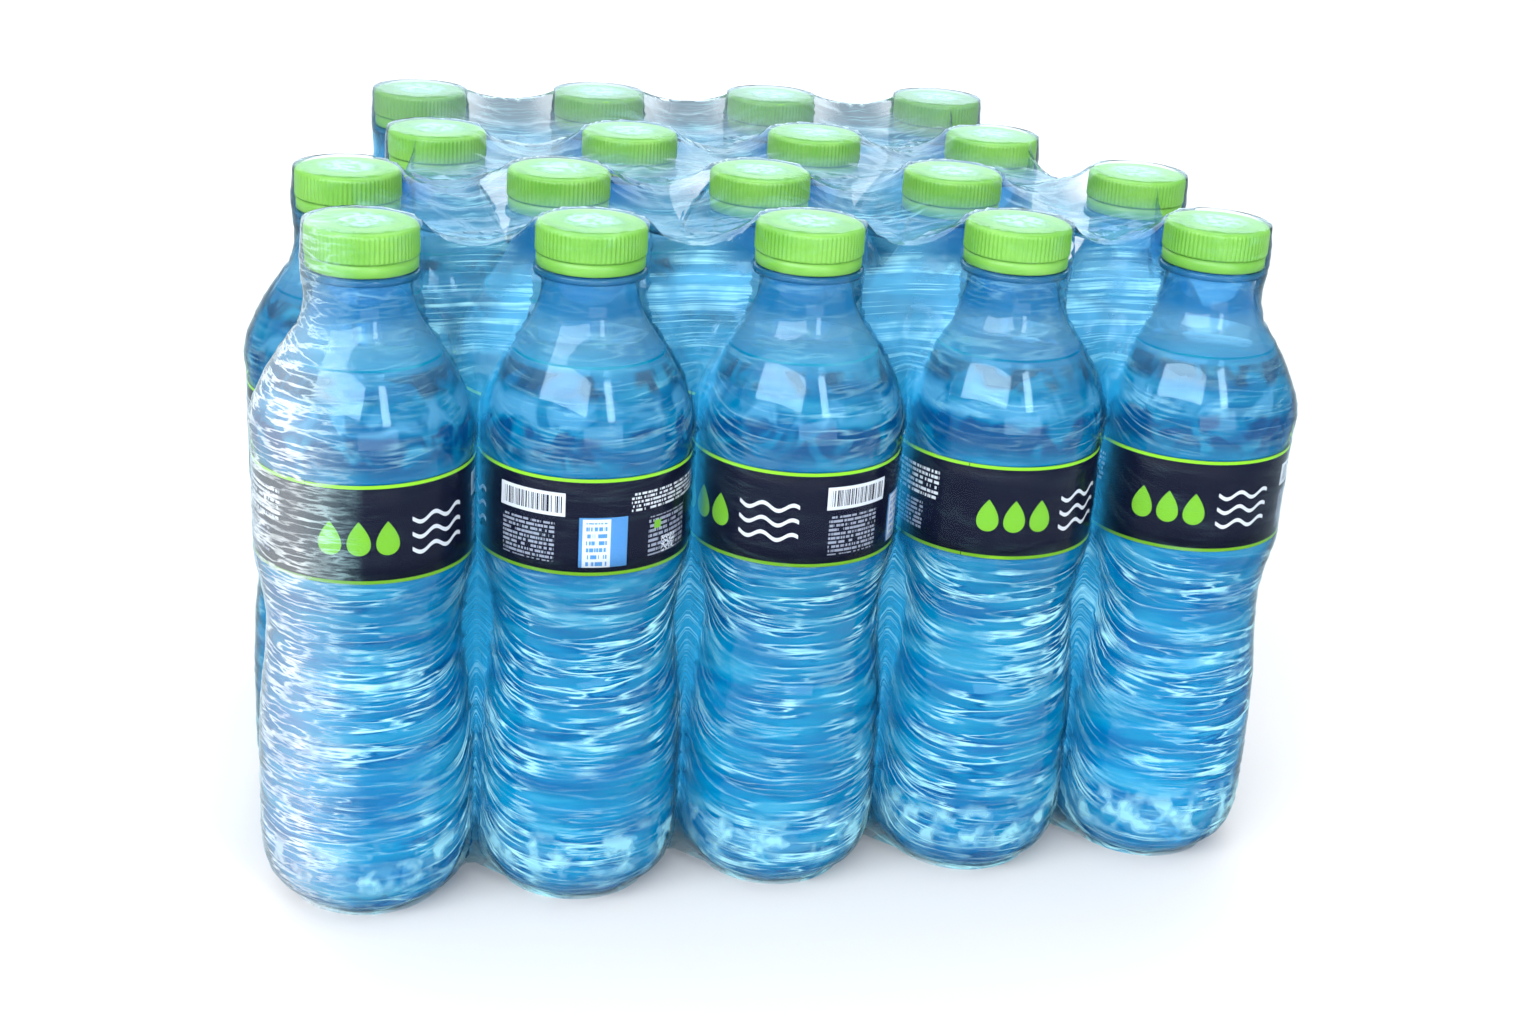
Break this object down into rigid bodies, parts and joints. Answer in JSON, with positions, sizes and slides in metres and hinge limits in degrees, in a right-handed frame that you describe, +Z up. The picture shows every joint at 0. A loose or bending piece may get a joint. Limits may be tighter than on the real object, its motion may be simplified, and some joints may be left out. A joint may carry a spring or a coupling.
{
  "type": "shrink-wrapped case of water bottles",
  "caption": "Case of clear half-litre water bottles with green closures and dark label bands, held together by tight clear film.",
  "frame": {"origin": "on the floor under the middle of the case", "axes": "+X along the front row, +Y from the front row to the back row, +Z up"},
  "size_m": [0.3176, 0.2462, 0.2056],
  "materials": {
    "bottle_and_water": "clear blue-tinted PET, glossy, with water in it",
    "closure": "moulded lime green plastic, satin, finely ribbed",
    "label": "printed plastic sleeve, near-black navy with lime edges",
    "film": "clear shrink film, glossy, wrinkled and streaked"
  },
  "bodies": {
    "root": {"bottle_r1_c1": "bottle_and_water", "bottle_r1_c2": "bottle_and_water", "bottle_r1_c3": "bottle_and_water", "bottle_r1_c4": "bottle_and_water", "bottle_r1_c5": "bottle_and_water", "bottle_r2_c1": "bottle_and_water", "bottle_r2_c2": "bottle_and_water", "bottle_r2_c3": "bottle_and_water", "bottle_r2_c4": "bottle_and_water", "bottle_r2_c5": "bottle_and_water", "bottle_r3_c1": "bottle_and_water", "bottle_r3_c2": "bottle_and_water", "bottle_r3_c3": "bottle_and_water", "bottle_r3_c4": "bottle_and_water", "bottle_r4_c1": "bottle_and_water", "bottle_r4_c2": "bottle_and_water", "bottle_r4_c3": "bottle_and_water", "bottle_r4_c4": "bottle_and_water", "cap_r1_c1": "closure", "cap_r1_c2": "closure", "cap_r1_c3": "closure", "cap_r1_c4": "closure", "cap_r1_c5": "closure", "cap_r2_c1": "closure", "cap_r2_c2": "closure", "cap_r2_c3": "closure", "cap_r2_c4": "closure", "cap_r2_c5": "closure", "cap_r3_c1": "closure", "cap_r3_c2": "closure", "cap_r3_c3": "closure", "cap_r3_c4": "closure", "cap_r4_c1": "closure", "cap_r4_c2": "closure", "cap_r4_c3": "closure", "cap_r4_c4": "closure", "label_r1_c1": "label", "label_r1_c2": "label", "label_r1_c3": "label", "label_r1_c4": "label", "label_r1_c5": "label", "label_r2_c1": "label", "label_r2_c2": "label", "label_r2_c3": "label", "label_r2_c4": "label", "label_r2_c5": "label", "label_r3_c1": "label", "label_r3_c2": "label", "label_r3_c3": "label", "label_r3_c4": "label", "label_r4_c1": "label", "label_r4_c2": "label", "label_r4_c3": "label", "label_r4_c4": "label", "film": "film", "film_floor": "film"}
  },
  "joints": []
}
